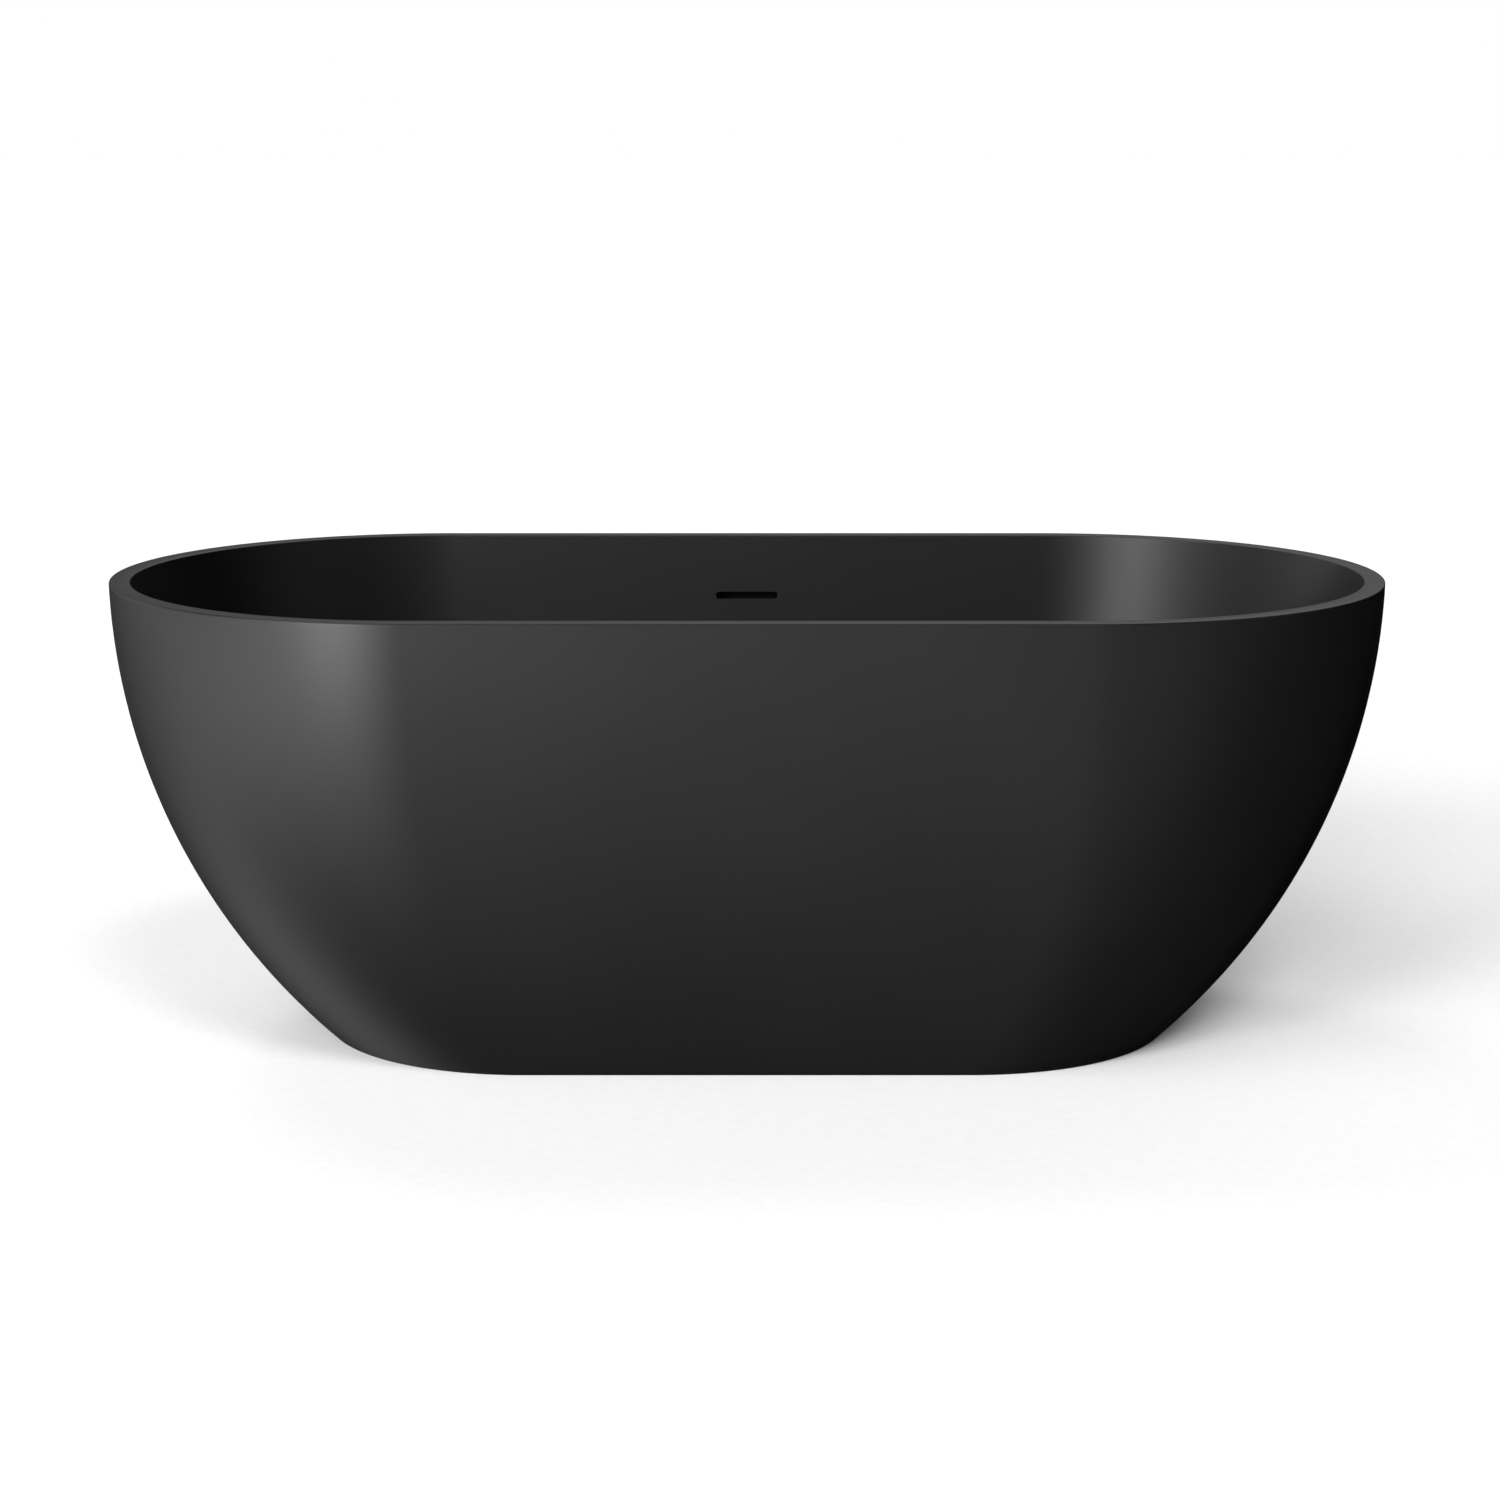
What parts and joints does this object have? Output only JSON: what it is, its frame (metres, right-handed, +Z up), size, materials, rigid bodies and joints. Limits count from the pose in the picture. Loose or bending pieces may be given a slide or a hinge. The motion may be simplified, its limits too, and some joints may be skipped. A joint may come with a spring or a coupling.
{
  "type": "freestanding bathtub",
  "caption": "Double-ended freestanding bathtub with round ends, flaring walls, a slim flat rim, a slot overflow, a press-to-open waste and levelling feet.",
  "frame": {"origin": "on the floor, under the middle of the tub", "axes": "+X along the tub, +Y towards the side whose inner wall holds the overflow slot, +Z up"},
  "size_m": [1.6, 0.8, 0.58],
  "materials": {
    "tub_acrylic": "satin",
    "black_metal": "satin",
    "plywood": "matte",
    "frame_steel": "satin",
    "zinc_steel": "satin",
    "spring_steel": "gloss",
    "stem_brass": "satin",
    "seal_rubber": "matte",
    "black_plastic": "matte",
    "pale_plastic": "satin",
    "hose_plastic": "satin"
  },
  "bodies": {
    "tub": {"inner_basin": "tub_acrylic", "outer_shell": "tub_acrylic", "base_board": "plywood", "rail_front": "frame_steel", "rail_back": "frame_steel", "crossbar_1": "frame_steel", "crossbar_2": "frame_steel", "crossbar_3": "frame_steel", "crossbar_4": "frame_steel", "rail_end_caps": "black_plastic", "cradle_screws": "zinc_steel", "foot_bushes": "zinc_steel", "foot_locknut_1": "zinc_steel", "foot_locknut_2": "zinc_steel", "foot_locknut_3": "zinc_steel", "foot_locknut_4": "zinc_steel", "foot_locknut_5": "zinc_steel", "waste_flange": "black_metal", "waste_seat_gasket": "seal_rubber", "waste_lower_gasket": "seal_rubber", "waste_tee": "pale_plastic", "tail_washer": "seal_rubber", "tail_nut": "pale_plastic", "tailpiece": "pale_plastic", "click_cartridge": "black_plastic", "click_spring": "spring_steel", "overflow_box": "black_plastic", "overflow_gasket": "seal_rubber", "overflow_screws": "zinc_steel", "overflow_hose": "hose_plastic", "hose_clamp_top": "zinc_steel", "hose_clamp_bottom": "zinc_steel"},
    "plug": {"plug_cap": "black_metal", "plug_seal": "seal_rubber", "plug_stem": "stem_brass"},
    "foot_1": {"foot_pad_1": "black_plastic", "foot_stud_1": "zinc_steel"},
    "foot_2": {"foot_pad_2": "black_plastic", "foot_stud_2": "zinc_steel"},
    "foot_3": {"foot_pad_3": "black_plastic", "foot_stud_3": "zinc_steel"},
    "foot_4": {"foot_pad_4": "black_plastic", "foot_stud_4": "zinc_steel"},
    "foot_5": {"foot_pad_5": "black_plastic", "foot_stud_5": "zinc_steel"}
  },
  "joints": [
    {"name": "plug_lift", "type": "slide", "parent": "tub", "child": "plug", "axis": [0, 0, 1], "range_m": [0, 0.01], "deforming": ["click_spring"]},
    {"name": "foot_1_height", "type": "slide", "parent": "tub", "child": "foot_1", "axis": [0, 0, -1], "range_m": [-0.005, 0.015]},
    {"name": "foot_2_height", "type": "slide", "parent": "tub", "child": "foot_2", "axis": [0, 0, -1], "range_m": [-0.005, 0.015]},
    {"name": "foot_3_height", "type": "slide", "parent": "tub", "child": "foot_3", "axis": [0, 0, -1], "range_m": [-0.005, 0.015]},
    {"name": "foot_4_height", "type": "slide", "parent": "tub", "child": "foot_4", "axis": [0, 0, -1], "range_m": [-0.005, 0.015]},
    {"name": "foot_5_height", "type": "slide", "parent": "tub", "child": "foot_5", "axis": [0, 0, -1], "range_m": [-0.005, 0.015]}
  ]
}
